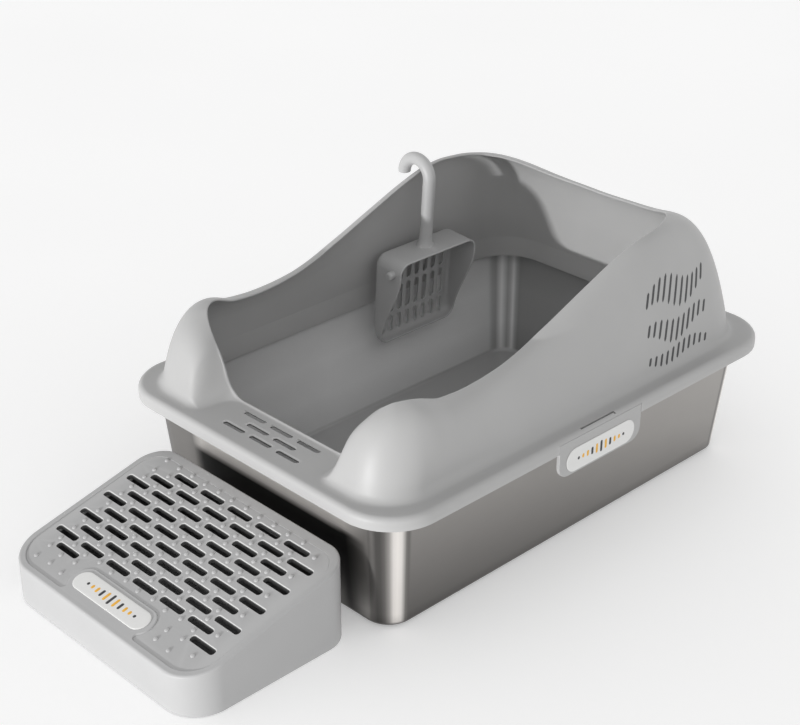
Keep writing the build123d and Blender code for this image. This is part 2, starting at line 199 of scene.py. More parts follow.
# ---------------------------------------------------------------------------
# materials
# ---------------------------------------------------------------------------
def nodes_of(name):
    m = bpy.data.materials.new(name)
    m.use_nodes = True
    nt = m.node_tree
    nt.nodes.clear()
    out = nt.nodes.new("ShaderNodeOutputMaterial")
    bs = nt.nodes.new("ShaderNodeBsdfPrincipled")
    nt.links.new(bs.outputs[0], out.inputs[0])
    return m, nt, bs


def tex(nt, kind, scale=(1, 1, 1), **kw):
    co = nt.nodes.new("ShaderNodeTexCoord")
    mp = nt.nodes.new("ShaderNodeMapping")
    mp.inputs["Scale"].default_value = scale
    nt.links.new(co.outputs["Object"], mp.inputs[0])
    t = nt.nodes.new(kind)
    for k, v in kw.items():
        t.inputs[k].default_value = v
    nt.links.new(mp.outputs[0], t.inputs["Vector"])
    return t


def ramp(nt, src, stops):
    r = nt.nodes.new("ShaderNodeValToRGB")
    el = r.color_ramp.elements
    while len(el) < len(stops):
        el.new(0.5)
    for e, (pos, col) in zip(el, stops):
        e.position = pos
        e.color = (*col, 1) if len(col) == 3 else col
    nt.links.new(src, r.inputs[0])
    return r


def grey(v):
    return (v, v, v)


def plastic(name, base, rough=(0.42, 0.52), bump=0.06, edge=0.10, spec=0.45):
    """Matt moulded plastic: fine spark texture, faint flow mottling, lighter worn edges."""
    m, nt, bs = nodes_of(name)
    big = tex(nt, "ShaderNodeTexNoise", (7, 7, 7), Scale=1.0, Detail=3.0, Roughness=0.55)
    lo = tuple(c * 0.965 for c in base)
    hi = tuple(min(1, c * 1.035) for c in base)
    col = ramp(nt, big.outputs["Fac"], [(0.3, lo), (0.7, hi)])
    geo = nt.nodes.new("ShaderNodeNewGeometry")
    pt = ramp(nt, geo.outputs["Pointiness"], [(0.50, grey(0.0)), (0.56, grey(1.0))])
    mix = nt.nodes.new("ShaderNodeMix")
    mix.data_type = "RGBA"
    mix.blend_type = "MIX"
    mix.inputs["B"].default_value = (*[min(1, c * (1 + edge * 2.2)) for c in base], 1)
    sc = nt.nodes.new("ShaderNodeMath")
    sc.operation = "MULTIPLY"
    sc.inputs[1].default_value = 0.5
    nt.links.new(pt.outputs[0], sc.inputs[0])
    nt.links.new(sc.outputs[0], mix.inputs["Factor"])
    nt.links.new(col.outputs[0], mix.inputs["A"])
    nt.links.new(mix.outputs["Result"], bs.inputs["Base Color"])
    fine = tex(nt, "ShaderNodeTexNoise", (1, 1, 1), Scale=1500.0, Detail=2.0, Roughness=0.6)
    rr = tex(nt, "ShaderNodeTexNoise", (30, 30, 30), Scale=1.0, Detail=4.0, Roughness=0.6)
    rm = ramp(nt, rr.outputs["Fac"], [(0.3, grey(rough[0])), (0.7, grey(rough[1]))])
    nt.links.new(rm.outputs[0], bs.inputs["Roughness"])
    bp = nt.nodes.new("ShaderNodeBump")
    bp.inputs["Strength"].default_value = bump
    bp.inputs["Distance"].default_value = 0.0004
    nt.links.new(fine.outputs["Fac"], bp.inputs["Height"])
    nt.links.new(bp.outputs[0], bs.inputs["Normal"])
    bs.inputs["Specular IOR Level"].default_value = spec
    return m


def steel(name, corner, height, rough, wall=None, tint=(1, 1, 1), metal=1.0, grain_scale=(3, 3, 1800), aniso=0.7, flat=0.3, front=1.0, shade=None):
    """Satin drawn stainless: fine grain round the walls, faint blotches, and painted reflections: bright streaks with
    dark bands beside them round the corners.

    corner: painted reflection tone from an end wall (0) round the corner to a side wall (1); height: tone up the wall,
    0 to 150 mm, painted shade darker at the foot (and, inside, also near the rim);
    wall: painted reflection tone of the upright walls, rising with height and towards the back; flat: tone of the level
    sheet; front: painted shade towards the entry end;
    shade: tone of the entry end wall behind the step, the step's painted shadow and reflection, a dark band under a lit
    one."""
    m, nt, bs = nodes_of(name)
    bs.inputs["Metallic"].default_value = metal

    def op(kind, *src):
        n = nt.nodes.new("ShaderNodeMath")
        n.operation = kind
        for i, q in enumerate(src):
            if isinstance(q, (int, float)):
                n.inputs[i].default_value = q
            else:
                nt.links.new(q, n.inputs[i])
        return n.outputs[0]

    def split(src):
        n = nt.nodes.new("ShaderNodeSeparateXYZ")
        nt.links.new(src, n.inputs[0])
        return n.outputs

    def blend(kind, fac, x, y):
        n = nt.nodes.new("ShaderNodeMix")
        n.data_type = "RGBA"
        n.blend_type = kind
        if isinstance(fac, float):
            n.inputs["Factor"].default_value = fac
        else:
            nt.links.new(fac, n.inputs["Factor"])
        nt.links.new(x, n.inputs["A"])
        nt.links.new(y, n.inputs["B"])
        return n.outputs["Result"]

    def tones(stops):
        return [(at, tuple(v * c for c in tint)) for at, v in stops]

    nor = split(nt.nodes.new("ShaderNodeNewGeometry").outputs["Normal"])
    pos = split(nt.nodes.new("ShaderNodeTexCoord").outputs["Object"])
    turn = op("MULTIPLY", op("ARCTAN2", op("ABSOLUTE", nor["X"]), op("ABSOLUTE", nor["Y"])), 2 / math.pi)
    # painted reflection: bright streaks with dark bands beside them round each corner, set by the face's direction
    tone = ramp(nt, turn, tones(corner)).outputs[0]
    if wall:
        # painted reflection: upright walls darker low down and towards the front
        far = op("ADD", op("MULTIPLY_ADD", pos["Z"], 4.3, -0.0516), op("MULTIPLY_ADD", pos["Y"], 0.85, 0.136))
        mask = ramp(nt, turn, [(0.02, grey(0.0)), (0.08, grey(1.0)), (0.92, grey(1.0)), (0.975, grey(0.0))]).outputs[0]
        tone = blend("MIX", mask, ramp(nt, far, tones(wall)).outputs[0], tone)
    if shade:
        # painted shadow and reflection of the step on the entry end wall: near black below the step's top, a lit strip
        # above it, running dark down to the floor on one side, lighter beyond the step's ends
        face = op("MULTIPLY", nor["Y"], -1.0)
        along = op("MULTIPLY_ADD", pos["X"], 2.5, 0.5)
        fade = ramp(nt, face, [(0.975, grey(0.0)), (0.997, grey(1.0))]).outputs[0]
        low = ramp(nt, pos["Z"], [(0.098, grey(1.0)), (0.106, grey(0.0))]).outputs[0]
        mid = ramp(nt, along, [(0.215, grey(0.0)), (0.252, grey(1.0)), (0.81, grey(1.0)), (0.885, grey(0.0))]).outputs[0]
        streak = ramp(nt, along, [(0.76, grey(0.0)), (0.80, grey(1.0)), (0.83, grey(1.0)), (0.885, grey(0.0))]).outputs[0]
        band = ramp(nt, pos["Z"], tones([(0.008, 0.30), (0.035, 0.24), (0.060, 0.12), (0.079, shade), (0.098, shade), (0.106, 1.0)])).outputs[0]
        dim = ramp(nt, pos["Z"], tones([(0.0, shade * 3), (0.1, shade)])).outputs[0]
        edge = ramp(nt, along, tones([(0.22, 0.25), (0.80, 0.45)])).outputs[0]
        tone = blend("MIX", fade, tone, blend("MIX", mid, edge, blend("MIX", op("MULTIPLY", low, streak), band, dim)))
    lie = op("ABSOLUTE", nor["Z"])
    tone = blend("MIX", ramp(nt, lie, [(0.16, grey(0.0)), (0.6, grey(1.0))]).outputs[0], tone,
                 ramp(nt, lie, tones([(0.16, flat * 0.9), (1.0, flat)])).outputs[0])
    # painted shade: tone by height, darker at the foot
    up = ramp(nt, op("MULTIPLY", pos["Z"], 1 / 0.15), [(at, grey(v)) for at, v in height]).outputs[0]
    tone = blend("MULTIPLY", 1.0, tone, up)
    # painted shade: darker towards the entry end
    if front != 1.0:
        tone = blend("MULTIPLY", 1.0, tone, ramp(nt, op("MULTIPLY_ADD", pos["Y"], 1.7, 0.34), [(0.0, grey(front)), (0.45, grey(1.0))]).outputs[0])
    blot = tex(nt, "ShaderNodeTexNoise", (4, 4, 6), Scale=1.0, Detail=4.0, Roughness=0.6)
    tone = blend("MULTIPLY", 1.0, tone, ramp(nt, blot.outputs["Fac"], [(0.3, grey(0.93)), (0.7, grey(1.0))]).outputs[0])
    nt.links.new(tone, bs.inputs["Base Color"])
    grain = tex(nt, "ShaderNodeTexNoise", grain_scale, Scale=1.0, Detail=3.0, Roughness=0.6)
    rm = ramp(nt, grain.outputs["Fac"], [(0.25, grey(rough[0])), (0.75, grey(rough[1]))])
    nt.links.new(rm.outputs[0], bs.inputs["Roughness"])
    bp = nt.nodes.new("ShaderNodeBump")
    bp.inputs["Strength"].default_value = 0.02
    bp.inputs["Distance"].default_value = 0.0002
    nt.links.new(grain.outputs["Fac"], bp.inputs["Height"])
    nt.links.new(bp.outputs[0], bs.inputs["Normal"])
    bs.inputs["Anisotropic"].default_value = aniso
    bs.inputs["Anisotropic Rotation"].default_value = 0.25
    tg = nt.nodes.new("ShaderNodeTangent")
    tg.direction_type = "RADIAL"
    tg.axis = "Z"
    nt.links.new(tg.outputs[0], bs.inputs["Tangent"])
    return m


def enamel(name, base, rough=0.22):
    """Smooth printed plaque surface with a faint orange-peel."""
    m, nt, bs = nodes_of(name)
    v = tex(nt, "ShaderNodeTexNoise", (60, 60, 60), Scale=1.0, Detail=2.0)
    col = ramp(nt, v.outputs["Fac"], [(0.3, tuple(c * 0.985 for c in base)), (0.7, base)])
    nt.links.new(col.outputs[0], bs.inputs["Base Color"])
    peel = tex(nt, "ShaderNodeTexNoise", (1, 1, 1), Scale=420.0, Detail=1.0)
    rm = ramp(nt, peel.outputs["Fac"], [(0.2, grey(rough)), (0.8, grey(rough + 0.05))])
    nt.links.new(rm.outputs[0], bs.inputs["Roughness"])
    bp = nt.nodes.new("ShaderNodeBump")
    bp.inputs["Strength"].default_value = 0.012
    bp.inputs["Distance"].default_value = 0.0003
    nt.links.new(peel.outputs["Fac"], bp.inputs["Height"])
    nt.links.new(bp.outputs[0], bs.inputs["Normal"])
    return m


def rubber(name):
    m, nt, bs = nodes_of(name)
    v = tex(nt, "ShaderNodeTexNoise", (1, 1, 1), Scale=600.0, Detail=3.0)
    col = ramp(nt, v.outputs["Fac"], [(0.3, grey(0.018)), (0.7, grey(0.035))])
    nt.links.new(col.outputs[0], bs.inputs["Base Color"])
    rm = ramp(nt, v.outputs["Fac"], [(0.3, grey(0.7)), (0.7, grey(0.85))])
    nt.links.new(rm.outputs[0], bs.inputs["Roughness"])
    bp = nt.nodes.new("ShaderNodeBump")
    bp.inputs["Strength"].default_value = 0.2
    bp.inputs["Distance"].default_value = 0.0005
    nt.links.new(v.outputs["Fac"], bp.inputs["Height"])
    nt.links.new(bp.outputs[0], bs.inputs["Normal"])
    return m


M_GUARD = plastic("guard_plastic", (0.42, 0.419, 0.417))
M_STEP = plastic("step_plastic", (0.42, 0.42, 0.421))
M_SCOOP = plastic("scoop_plastic", (0.43, 0.43, 0.43), rough=(0.38, 0.48))
# outer steel: painted reflection streaks on the corners, a painted dark foot, painted shadow and reflection of the step
# on the entry end wall
M_STEEL = steel("pan_steel", [(0.0, 0.20), (0.09, 0.21), (0.19, 0.15), (0.28, 0.095), (0.36, 0.11), (0.44, 0.18), (0.53, 0.40),
                              (0.61, 0.88), (0.69, 1.0), (0.77, 0.90), (0.87, 0.24), (0.95, 0.16), (1.0, 0.19)],
                [(0.013, 0.12), (0.055, 0.80), (0.12, 1.0)], (0.30, 0.36), [(0.0, 0.14), (0.6, 0.355), (1.0, 0.41)], (1.0, 0.962, 0.925), shade=0.011)
# inner steel: painted reflection streaks in the corners, painted shade low down, near the rim and towards the entry end
M_STEEL_IN = steel("pan_steel_inside", [(0.0, 0.40), (0.11, 0.38), (0.2, 0.56), (0.28, 0.95), (0.36, 0.58), (0.43, 0.46), (0.50, 0.70),
                                        (0.58, 1.0), (0.66, 0.75), (0.74, 0.50), (0.84, 0.60), (0.95, 0.92), (1.0, 0.98)],
                   [(0.0, 0.8), (0.30, 1.0), (0.60, 0.98), (0.93, 0.72)], (0.30, 0.36), metal=0.25, grain_scale=(3, 3, 900), aniso=0.8, flat=0.6, front=0.55)
M_WHITE = enamel("badge_white", (0.74, 0.74, 0.73))
M_AMBER = enamel("badge_amber", (0.80, 0.42, 0.04), 0.35)
M_INK = enamel("badge_ink", (0.03, 0.03, 0.032), 0.4)
M_PRINT = enamel("wall_print", (0.05, 0.05, 0.052), 0.5)
M_RUBBER = rubber("pad_rubber")
# lighter plastic for the upward chamfers of slot mouths: a painted highlight where the far edges catch the light
M_EDGE_HIGHLIGHT = plastic("edge_painted_highlight", (0.57, 0.57, 0.566))
# near-black plastic for the slot walls: painted shade inside the slots
M_SHADE = plastic("slot_wall_painted_shade", (0.10, 0.10, 0.10), rough=(0.55, 0.7))
# dark plastic for the step's hollow inside: painted shade in the enclosed cavity
M_HOLLOW_SHADE = plastic("step_hollow_painted_shade", (0.13, 0.13, 0.131), rough=(0.55, 0.7))


def dress(ob, mat):
    ob.data.materials.clear()
    ob.data.materials.append(mat)
    return ob


# ---------------------------------------------------------------------------
# guard: same driving section as the construction, carried round in fine steps
# ---------------------------------------------------------------------------
# plans: half width, front y, back y, front corner radius, back corner radius
F_PLAN = (212.5, -306.0, 306.0, 60.0, 60.0)
B_PLAN = (190.0, -285.0, 285.0, 50.0, 62.0)
E_PLAN = (154.0, -242.0, 246.0, 40.0, 130.0)
SKIRT_Z, FLANGE_Z, FLANGE_UNDER_Z, DROP_Z = 138.4, 153.0, 150.0, 138.0
EDGE_Z = [(0, 155.6), (70, 155.6), (79, 156.4), (86, 159.0), (94, 166.4), (101, 181.0), (106, 192.5),
          (111, 202.0), (116, 209.6), (124, 219.8), (132.7, 227.5), (146.4, 234.8), (159, 236.6),
          (170, 235.0), (177, 232.4), (195.4, 226.3), (225, 224.3), (248.3, 225.5), (278.8, 229.5),
          (309.8, 237.5), (339.2, 248.5), (354, 254.0), (384, 266.0), (415.6, 278.5), (441.5, 288.5),
          (463.8, 296.0), (479.7, 300.5), (494.8, 303.3), (517.5, 305.2), (540, 305.2), (563, 303.3),
          (581, 300.0), (599, 295.0), (617.3, 288.8), (635.5, 282.8), (653.6, 278.2), (676.3, 274.8),
          (699, 273.4), (723, 273.0)]


def plan_lengths(p):
    hw, y0, y1, rf, rb = p
    return [hw - rf, math.pi * rf / 2, (y1 - y0) - rf - rb, math.pi * rb / 2, hw - rb]


def edge_point(seg, t):
    """Free edge on the left half, front middle to back middle, and its outward normal."""
    hw, y0, y1, rf, rb = E_PLAN
    if seg == 0:
        return (-(hw - rf) * t, y0), (0.0, -1.0)
    if seg == 1:
        n = (-math.sin(math.pi / 2 * t), -math.cos(math.pi / 2 * t))
        return (-(hw - rf) + rf * n[0], y0 + rf + rf * n[1]), n
    if seg == 2:
        return (-hw, y0 + rf + (y1 - y0 - rf - rb) * t), (-1.0, 0.0)
    if seg == 3:
        n = (-math.cos(math.pi / 2 * t), math.sin(math.pi / 2 * t))
        return (-(hw - rb) + rb * n[0], y1 - rb + rb * n[1]), n
    return (-(hw - rb) * (1 - t), y1), (0.0, 1.0)


def corner_offset(p, plan):
    hw, y0, y1, rf, rb = plan
    mid = (y0 + y1) / 2
    r = rf if p[1] < mid else rb
    return abs(p[0]) - (hw - r), abs(p[1] - mid) - ((y1 - y0) / 2 - r), r


def outside(p, plan):
    qx, qy, r = corner_offset(p, plan)
    return math.hypot(max(qx, 0), max(qy, 0)) + min(max(qx, qy), 0) - r


def out_normal(p, plan):
    qx, qy, r = corner_offset(p, plan)
    sx = -1.0 if p[0] < 0 else 1.0
    sy = -1.0 if p[1] < (plan[1] + plan[2]) / 2 else 1.0
    if qx > 0 and qy > 0:
        L = math.hypot(qx, qy)
        return (sx * qx / L, sy * qy / L)
    return (sx, 0.0) if qx > qy else (0.0, sy)


def shoot(p, n, plan):
    """Where a line from p along n meets a plan outline."""
    a, b = 0.0, 200.0
    for _ in range(50):
        m = (a + b) / 2
        if outside((p[0] + n[0] * m, p[1] + n[1] * m), plan) < 0:
            a = m
        else:
            b = m
    return (p[0] + n[0] * a, p[1] + n[1] * a)


def bezier(p0, p1, p2, p3, n):
    out = []
    for k in range(1, n + 1):
        u, v = k / n, 1 - k / n
        out.append(tuple(v ** 3 * a + 3 * v * v * u * b + 3 * v * u * u * c + u ** 3 * d
                         for a, b, c, d in zip(p0, p1, p2, p3)))
    return out


def edge_z(s):
    table = EDGE_Z
    n = len(table)
    if s <= table[0][0]:
        return table[0][1]
    if s >= table[-1][0]:
        return table[-1][1]
    i = max(k for k in range(n - 1) if table[k][0] <= s)

    def slope(k):
        if k == 0 or k == n - 1:
            return 0.0
        d0 = (table[k][1] - table[k - 1][1]) / (table[k][0] - table[k - 1][0])
        d1 = (table[k + 1][1] - table[k][1]) / (table[k + 1][0] - table[k][0])
        return 0.0 if d0 * d1 <= 0 else 2 * d0 * d1 / (d0 + d1)
    x0, y0 = table[i]
    x1, y1 = table[i + 1]
    h = x1 - x0
    u = (s - x0) / h
    m0, m1 = slope(i) * h, slope(i + 1) * h
    return ((2 * u ** 3 - 3 * u ** 2 + 1) * y0 + (u ** 3 - 2 * u ** 2 + u) * m0
            + (-2 * u ** 3 + 3 * u ** 2) * y1 + (u ** 3 - u ** 2) * m1)


LEN_E = plan_lengths(E_PLAN)
START_E = [sum(LEN_E[:i]) for i in range(5)]


def guard_frame(seg, t):
    E, n = edge_point(seg, t)
    B = shoot(E, n, B_PLAN)
    nb = out_normal(B, B_PLAN)
    F = shoot(B, nb, F_PLAN)
    return E, B, nb, F


def guard_line(seg, t, steps=26):
    """Outer line of the section above the flange edge: (distance in from the flange edge, height)."""
    E, B, nb, F = guard_frame(seg, t)
    s = START_E[seg] + t * LEN_E[seg]
    zt = edge_z(s)
    fb, be = math.dist(F, B), math.dist(B, E)
    H = zt - FLANGE_Z
    Hw = max(H, 45.0)
    W = fb + be
    # the wall is fuller in the front corners and rounder over the back ones
    ex = max(0.0, be - 36.0) if seg >= 2 else 0.0
    fw = sstep(92, 140, s) * (1 - sstep(165, 300, s))
    lean = 16.0 + 0.8 * ex + 20.0 * fw
    rise = 0.95 - 0.005 * ex - 0.15 * fw
    curl = 13.0 + 0.5 * ex + 10.0 * fw
    p0, p3 = (fb + 1.8, 11.0), (W, Hw)
    p1 = (W - lean - (W - lean - p0[0]) * (1 - rise) * 0.9, 11.0 + (Hw - 11.0) * rise)
    p2 = (W - curl, Hw - 0.3)
    cove = spline([(6, 0.0), (fb - 9, 0.15), (fb - 4, 1.3), (fb - 0.6, 4.6), p0, bezier(p0, p1, p2, p3, 12)[0]], 5)[:-5]
    wall = cove + [q for q in bezier(p0, p1, p2, p3, steps)]
    # over the entry the wall sinks to a flat lip with a raised inner edge
    power = 8 - 5.8 * sstep(2.6, 14, H)
    w = sstep(10, 60, H)
    out = []
    for d, z in wall:
        u = max(0.0, (d - fb + 9) / (be + 9))
        lip = 0.05 * min(1.0, (d - 6) / 6) + (H - 0.05) * u ** power
        out.append((d, FLANGE_Z + lip + (z / Hw * H - lip) * w))
    return out, len(cove), fb, be, w


def guard_point(E, B, F, fb, be, d, z):
    if d <= fb:
        k = d / fb
        return (F[0] + (B[0] - F[0]) * k, F[1] + (B[1] - F[1]) * k, z)
    k = (d - fb) / be
    return (B[0] + (E[0] - B[0]) * k, B[1] + (E[1] - B[1]) * k, z)


GUARD_T = 2.8


def guard_section(seg, t):
    E, B, nb, F = guard_frame(seg, t)
    nf = out_normal(F, F_PLAN)
    line, nc, fb, be, w = guard_line(seg, t)
    outer = [(0.9, SKIRT_Z), (0.25, SKIRT_Z + 0.25), (0, SKIRT_Z + 0.9), (0, 144)]
    for k in range(9):
        a = math.pi / 2 * k / 8
        outer.append((6 - 6 * math.cos(a), FLANGE_Z - 6 + 6 * math.sin(a)))
    outer += line[1:]
    inner = offset_line(line, GUARD_T)[nc + 5:]
    # half-round free edge
    e0, e1 = line[-1], inner[-1]
    cx, cz = (e0[0] + e1[0]) / 2, (e0[1] + e1[1]) / 2
    ux, uz = e0[0] - cx, e0[1] - cz
    vx, vz = -uz, ux
    if vx < 0:
        vx, vz = -vx, -vz
    back = GUARD_T / 2
    nose = []
    for k in range(0, 7):
        a = math.pi * k / 6
        nose.append((cx - back + ux * math.cos(a) + vx * math.sin(a), cz + uz * math.cos(a) + vz * math.sin(a)))
    keep_o = [q for q in outer if q[0] < e0[0] - back - 0.2]
    pad = len(outer) - len(keep_o)
    keep_o += [(keep_o[-1][0] + (nose[0][0] - keep_o[-1][0]) * (i + 1) / (pad + 1),
                keep_o[-1][1] + (nose[0][1] - keep_o[-1][1]) * (i + 1) / (pad + 1)) for i in range(pad)]
    keep_i = [q for q in inner if q[0] < e1[0] - back - 0.2]
    pad = len(inner) - len(keep_i)
    keep_i += [(keep_i[-1][0] + (nose[-1][0] - keep_i[-1][0]) * (i + 1) / (pad + 1),
                keep_i[-1][1] + (nose[-1][1] - keep_i[-1][1]) * (i + 1) / (pad + 1)) for i in range(pad)]
    chain = keep_o + nose + keep_i[::-1]
    ring = [guard_point(E, B, F, fb, be, d, z) for d, z in chain]
    last = keep_i[0]
    k = (last[0] - fb - 7.6) / max(1.0, last[0] - fb - 4.7)
    foot = last[1] + (FLANGE_Z + (11.0 * w) - GUARD_T * 0.6 - last[1]) * k
    foot = max(FLANGE_UNDER_Z + 0.1, min(foot, FLANGE_UNDER_Z + 14))
    for p, q, o, z in ((B, nb, 7.6, foot), (B, nb, 7.4, FLANGE_UNDER_Z), (B, nb, 8.1, DROP_Z + 0.8), (B, nb, 7.7, DROP_Z),
                       (B, nb, 6.4, DROP_Z), (B, nb, 5.9, DROP_Z + 0.8), (B, nb, 5.0, FLANGE_UNDER_Z),
                       (F, nf, 3.0, FLANGE_UNDER_Z), (F, nf, 3.0, SKIRT_Z + 0.7), (F, nf, 2.3, SKIRT_Z)):
        ring.append((p[0] - q[0] * o, p[1] - q[1] * o, z))
    return ring


def guard_stations():
    st = [(0, k / 60) for k in range(60)]
    st += [(1, k / 36) for k in range(36)]
    st += [(2, k / 80) for k in range(80)]
    st += [(3, k / 56) for k in range(56)]
    st += [(4, k / 6) for k in range(7)]
    return st


half = [guard_section(seg, t) for seg, t in guard_stations()]
rings = [[P(x, y, z) for x, y, z in r] for r in half]
rings += [[P(-x, y, z) for x, y, z in r] for r in half[-2:0:-1]]
verts, faces = bridge(rings, closed=True, wrap=True)
guard = new_object("guard_wall", verts, faces)

# cutters: lip slots with an eased mouth, drop edge under the lip, clip notches and finger slits
CLIP_Y, CLIP_HW = -3.0, 65.0


def prism(levels, put=P):
    """Closed solid from equal outlines at rising levels: [(outline mm, level mm)]."""
    loops = [[put(x, y, z) for x, y in o] for o, z in levels]
    v, f = bridge(loops)
    n = len(loops[0])
    f.append(tuple(range(n)))
    f.append(tuple(range(len(v) - n, len(v))))
    return v, f


def prisms(name, groups, put=P, sharp=38.0):
    """One object from a set of separate closed solids."""
    cv, cf = [], []
    for levels in groups:
        v, f = prism(levels, put)
        b = len(cv)
        cv.extend(v)
        cf.extend([tuple(i + b for i in q) for q in f])
    return new_object(name, cv, cf, sharp)


def cut_levels(ob, groups, put=P):
    """Cut a set of separate prisms from an object in one pass."""
    return cut(ob, prisms("cutter", groups, put))


def unite(ob, other):
    m = ob.modifiers.new("unite", "BOOLEAN")
    m.operation = "UNION"
    m.solver = "EXACT"
    m.object = other
    apply_modifiers(ob)
    bpy.data.objects.remove(other)
    return ob


def settle(ob, sharp=40.0):
    """Even shading over large flats beside small rounded edges."""
    smooth_shade(ob, sharp)
    m = ob.modifiers.new("normals", "WEIGHTED_NORMAL")
    m.mode = "FACE_AREA"
    m.weight = 50
    m.keep_sharp = True
    apply_modifiers(ob)
    return ob


slots, notches, slits = [], [], []
LIP_SLOTS = ((-253, (-41.5, 0, 41.5)), (-267, (-20.75, 20.75)), (-281, (-41.5, 0, 41.5)))
for y, xs in LIP_SLOTS:
    for x in xs:
        zs = FLANGE_Z + 0.05
        sh = lambda o: [(a + x, b + y) for a, b in o]
        slots.append([(sh(pill(32.4, 5.6)), 136), (sh(pill(32.4, 5.6)), zs - 1.5), (sh(pill(33.4, 6.6)), zs - 0.6), (sh(pill(34.6, 7.8)), zs + 0.02), (sh(pill(35.4, 8.6)), zs + 0.5)])
rect = lambda x0, x1, y0, y1: [(x0, y0), (x1, y0), (x1, y1), (x0, y1)]
for sx in (-1, 1):
    a, b = sorted((sx * 207.5, sx * 220))
    o = rect(a, b, CLIP_Y - CLIP_HW - 0.15, CLIP_Y + CLIP_HW + 0.15)
    notches.append([(o, SKIRT_Z - 5), (o, FLANGE_UNDER_Z - 0.8)])
    x0, x1, ya, yb, leg = 205.9, 208.5, CLIP_Y - 28, CLIP_Y + 25, 1.7
    o = [(x0, ya), (x1, ya), (x1, yb - 2.2), (x1 + leg, yb - 2.2), (x1 + leg, yb), (x0, yb)]
    o = [(sx * x, y) for x, y in o]
    slits.append([(o, FLANGE_UNDER_Z - 2), (o, FLANGE_Z + 1)])
o = rect(-92, 92, -284, -272)
cut_levels(guard, [[(o, DROP_Z - 2), (o, FLANGE_UNDER_Z - 0.02)]])
cut_levels(guard, slots)
cut_levels(guard, notches)
cut_levels(guard, slits)
smooth_shade(guard, 35)
near = lambda c: (round(c[0], 5), round(c[1], 5), round(c[2], 5))
crease = {near(r[-10]) for r in rings}
for e in guard.data.edges:
    if all(near(guard.data.vertices[i].co) in crease for i in e.vertices):
        e.use_edge_sharp = True
dress(guard, M_GUARD)
guard.data.materials.append(M_EDGE_HIGHLIGHT)
guard.data.materials.append(M_SHADE)
# slot mouths: upward chamfers get the painted highlight, the upright walls the painted shade
mouths = [(x, y) for y, xs in LIP_SLOTS for x in xs]
for q in guard.data.polygons:
    x, y, z = q.center.x / MM, q.center.y / MM - YS, q.center.z / MM
    if 149 < z < FLANGE_Z + 0.03 and any(abs(x - a) < 18 and abs(y - b) < 4.1 for a, b in mouths):
        if abs(q.normal.z) < 0.2:
            q.material_index = 2
        elif 0.2 <= q.normal.z < 0.95:
            q.material_index = 1
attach(guard, "guard")
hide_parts("guard_shell")

# ---------------------------------------------------------------------------
# pan: drawn sheet, rolled rim
# ---------------------------------------------------------------------------
PAN_T, PAN_Z0, PAN_RIM_Z = 0.8, 2.0, 149.6
PAN_BASE, PAN_TOP = (174.5, 271.5, 30.0), (187.8, 284.8, 35.0)


def pan_at(z, inset):
    k = (z - PAN_Z0) / (PAN_RIM_Z - PAN_Z0)
    return [a + (b - a) * k - inset for a, b in zip(PAN_BASE, PAN_TOP)]


def pan_ring(inset, z, k=1.0):
    hw, hl, r = pan_at(z, inset)
    if k < 1.0:
        hw, hl, r = hw * k, hl * k, max(2.0, r * k)
    return [P(x, y, z) for x, y in round_rect(hw, hl, r, 18, 14)]


R = 6.0
loops = []
for k in (0.03, 0.25, 0.5, 0.75, 0.93):
    loops.append(pan_ring(R, PAN_Z0, k))
for k in range(9):
    a = math.pi / 2 * k / 8
    loops.append(pan_ring(R - R * math.sin(a), PAN_Z0 + R - R * math.cos(a)))
for k in range(1, 13):
    loops.append(pan_ring(0, PAN_Z0 + R + (145.2 - PAN_Z0 - R) * k / 12))
out = 13.0
loops.append(pan_ring(0, 147.0))
loops.append(pan_ring(-0.4, 148.2))
loops.append(pan_ring(-1.6, 148.8))
loops.append(pan_ring(-(out - 4.2), 148.8))
for k in range(17):
    a = math.radians(200 + 250 * k / 16)
    loops.append(pan_ring(-(out - 2.2) - 2.2 * math.cos(a), PAN_RIM_Z - 2.2 + 2.2 * math.sin(a)))
INSIDE = len(loops)
loops.append(pan_ring(-2.4, PAN_RIM_Z))
loops.append(pan_ring(-0.6, PAN_RIM_Z - 0.25))
loops.append(pan_ring(0.5, PAN_RIM_Z - 1.2))
loops.append(pan_ring(PAN_T, PAN_RIM_Z - 2.8))
for k in range(12, -1, -1):
    loops.append(pan_ring(PAN_T, PAN_Z0 + R + (144.0 - PAN_Z0 - R) * k / 12))
r2 = R - PAN_T
for k in range(7, -1, -1):
    a = math.pi / 2 * k / 8
    loops.append(pan_ring(R - r2 * math.sin(a), PAN_Z0 + R - r2 * math.cos(a)))
for k in (0.93, 0.75, 0.5, 0.25, 0.03):
    loops.append(pan_ring(R, PAN_Z0 + PAN_T, k))
v, f = bridge(loops)
n = len(loops[0])
f.append(tuple(range(n)))
f.append(tuple(range(len(v) - n, len(v))))
pan = new_object("pan_sheet", v, f, 45)
dress(pan, M_STEEL)
pan.data.materials.append(M_STEEL_IN)
last = len(pan.data.polygons) - 1
for q in pan.data.polygons:
    if (q.index // n >= INSIDE and q.index < last - 1) or q.index == last:
        q.material_index = 1
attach(pan, "pan")
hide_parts("steel_pan")

# ---------------------------------------------------------------------------
# step housing
# ---------------------------------------------------------------------------
STEP_HW, STEP_Y0, STEP_Y1 = 153.0, -497.0, -295.4
STEP_H0, STEP_H1, STEP_R, STEP_R_BACK = 45.0, 94.0, 40.0, 32.0
SLOPE = (STEP_H1 - STEP_H0) / (STEP_Y1 - STEP_Y0)
STEP_CY, STEP_HL = (STEP_Y0 + STEP_Y1) / 2, (STEP_Y1 - STEP_Y0) / 2
TILT = math.atan(SLOPE)


def slope_z(y, drop=0.0):
    return STEP_H0 + SLOPE * (y - STEP_Y0) - drop


